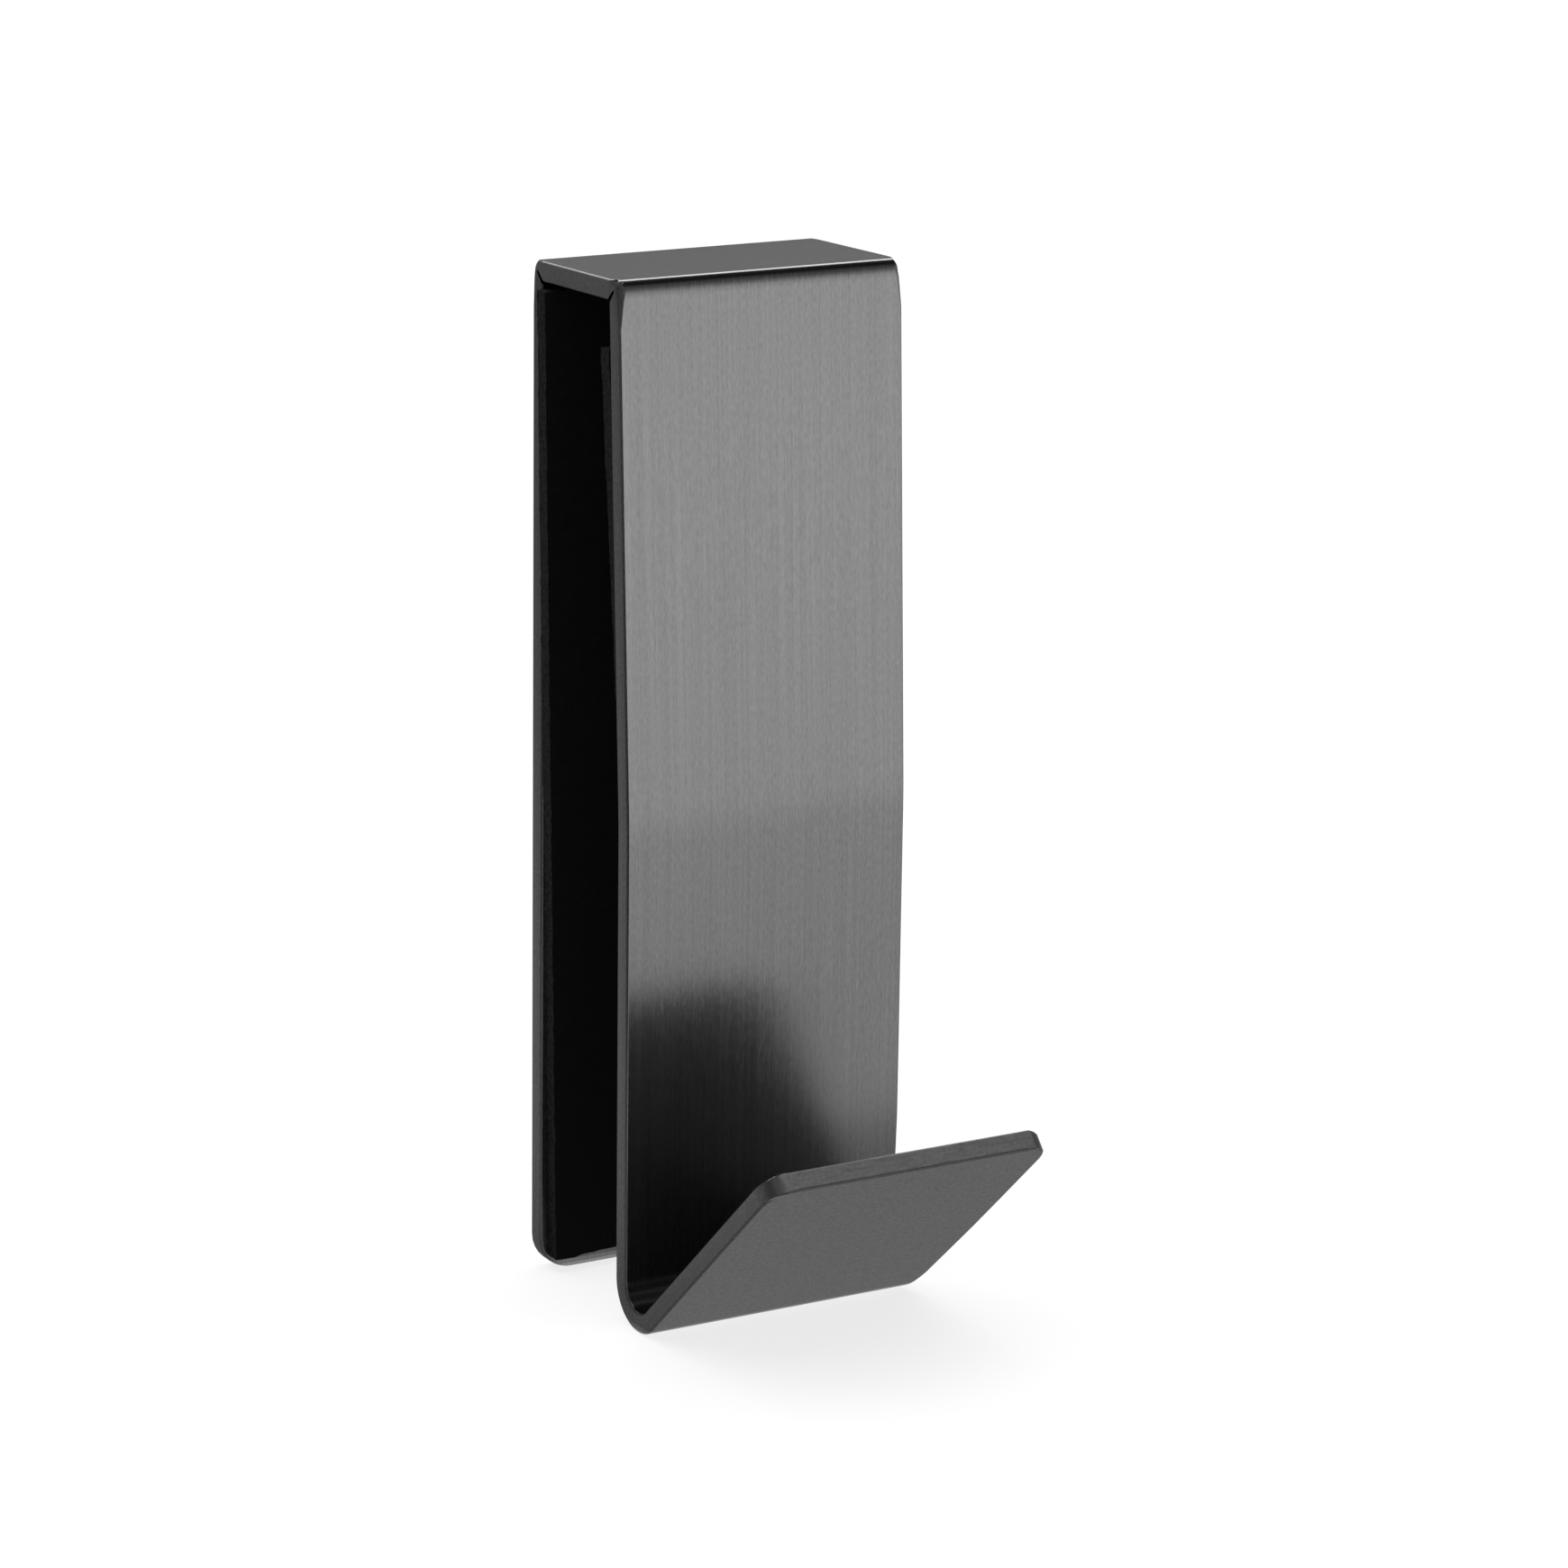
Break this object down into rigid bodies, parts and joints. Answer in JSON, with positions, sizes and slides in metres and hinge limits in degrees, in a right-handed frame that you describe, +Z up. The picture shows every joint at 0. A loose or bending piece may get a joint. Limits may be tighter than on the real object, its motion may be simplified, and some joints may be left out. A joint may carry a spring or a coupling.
{
  "type": "shower screen hook",
  "caption": "Strip of brushed metal folded over the top edge of a glass shower screen, lined with soft pads, with an upturned flap in front to hang a towel on.",
  "frame": {"origin": "middle of the bridge's underside, where the top edge of the glass seats", "axes": "+X across the strip, -Y towards the room, where the flap stands out, +Z up"},
  "size_m": [0.0312, 0.048, 0.1],
  "materials": {
    "gunmetal": "dark gunmetal, fine brushing along the strip",
    "lining": "matt black soft pad with cut edges"
  },
  "bodies": {
    "root": {"folded_sheet": "gunmetal", "rear_pad": "lining", "front_pad": "lining"}
  },
  "joints": []
}
